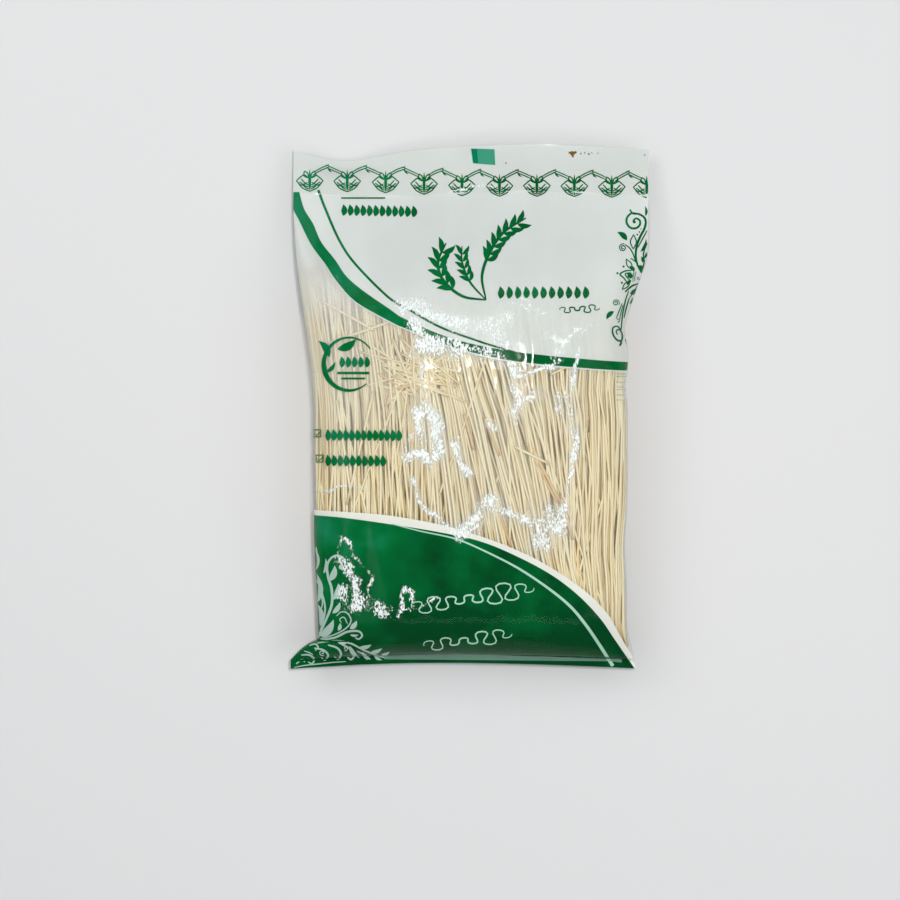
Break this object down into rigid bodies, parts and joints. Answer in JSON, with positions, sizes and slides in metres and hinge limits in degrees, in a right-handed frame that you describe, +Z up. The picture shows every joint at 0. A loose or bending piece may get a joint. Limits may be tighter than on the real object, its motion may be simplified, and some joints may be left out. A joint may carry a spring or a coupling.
{
  "type": "bag of dried rice vermicelli",
  "caption": "Sealed clear film pillow bag of straight dried rice vermicelli sticks, lying on its back, with milky and green printed fields around a clear window.",
  "frame": {"origin": "on the surface that the bag lies on, under the middle of its bounding box", "axes": "+X to the right across the front, +Y along the bag towards its wide top seal, +Z up, out of the printed front"},
  "size_m": [0.172, 0.2528, 0.0427],
  "materials": {
    "clear_film": "thin clear crinkled film, very glossy, with milky and green print on it",
    "green_print": "opaque deep green ink under glossy film",
    "white_print": "milky white ink under glossy film, slightly see-through",
    "dry_noodle": "dry cream rice noodle, satin and slightly translucent"
  },
  "bodies": {
    "root": {"noodle_bag": "clear_film"}
  },
  "joints": []
}
